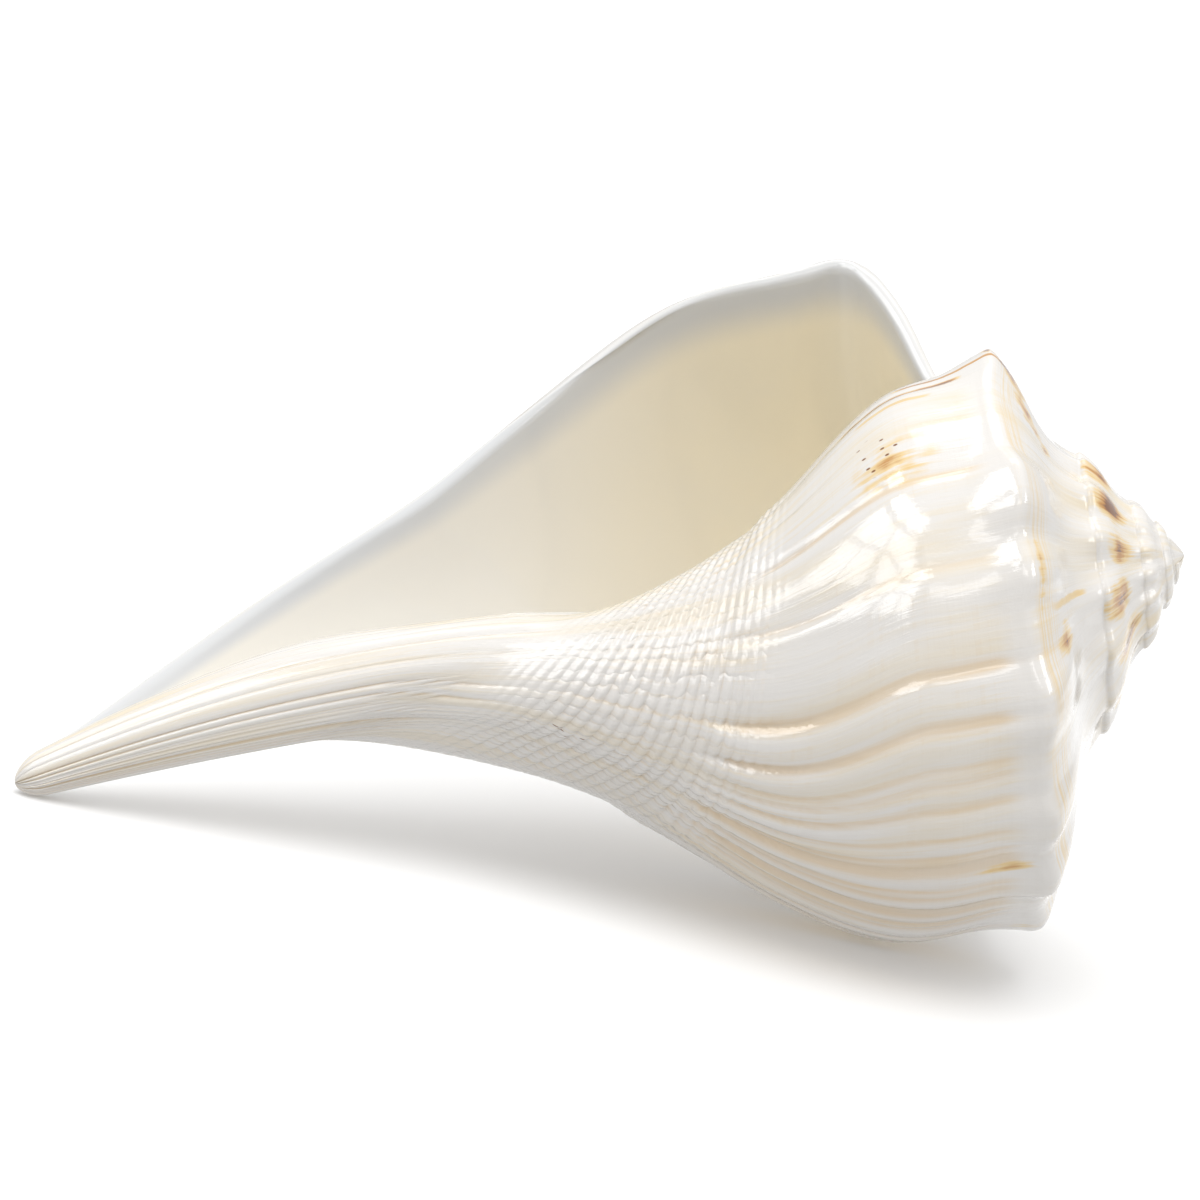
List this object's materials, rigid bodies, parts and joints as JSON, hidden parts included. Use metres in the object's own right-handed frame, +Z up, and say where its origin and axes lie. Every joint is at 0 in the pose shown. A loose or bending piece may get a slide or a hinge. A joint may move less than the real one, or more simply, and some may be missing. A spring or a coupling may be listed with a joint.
{
  "type": "conch shell",
  "caption": "Left-handed whelk shell with a low spire, knobbed shoulder, wide open mouth and long straight canal, lying on its back.",
  "frame": {"origin": "middle of the bounding box, on the surface that the shell lies on", "axes": "+Z up; +X from the canal's tip to the spire, the shell's longest extent; the open mouth faces up and towards +Y"},
  "size_m": [0.1856, 0.1252, 0.1071],
  "materials": {
    "shell": "gloss"
  },
  "bodies": {
    "root": {"shell": "shell"}
  },
  "joints": []
}
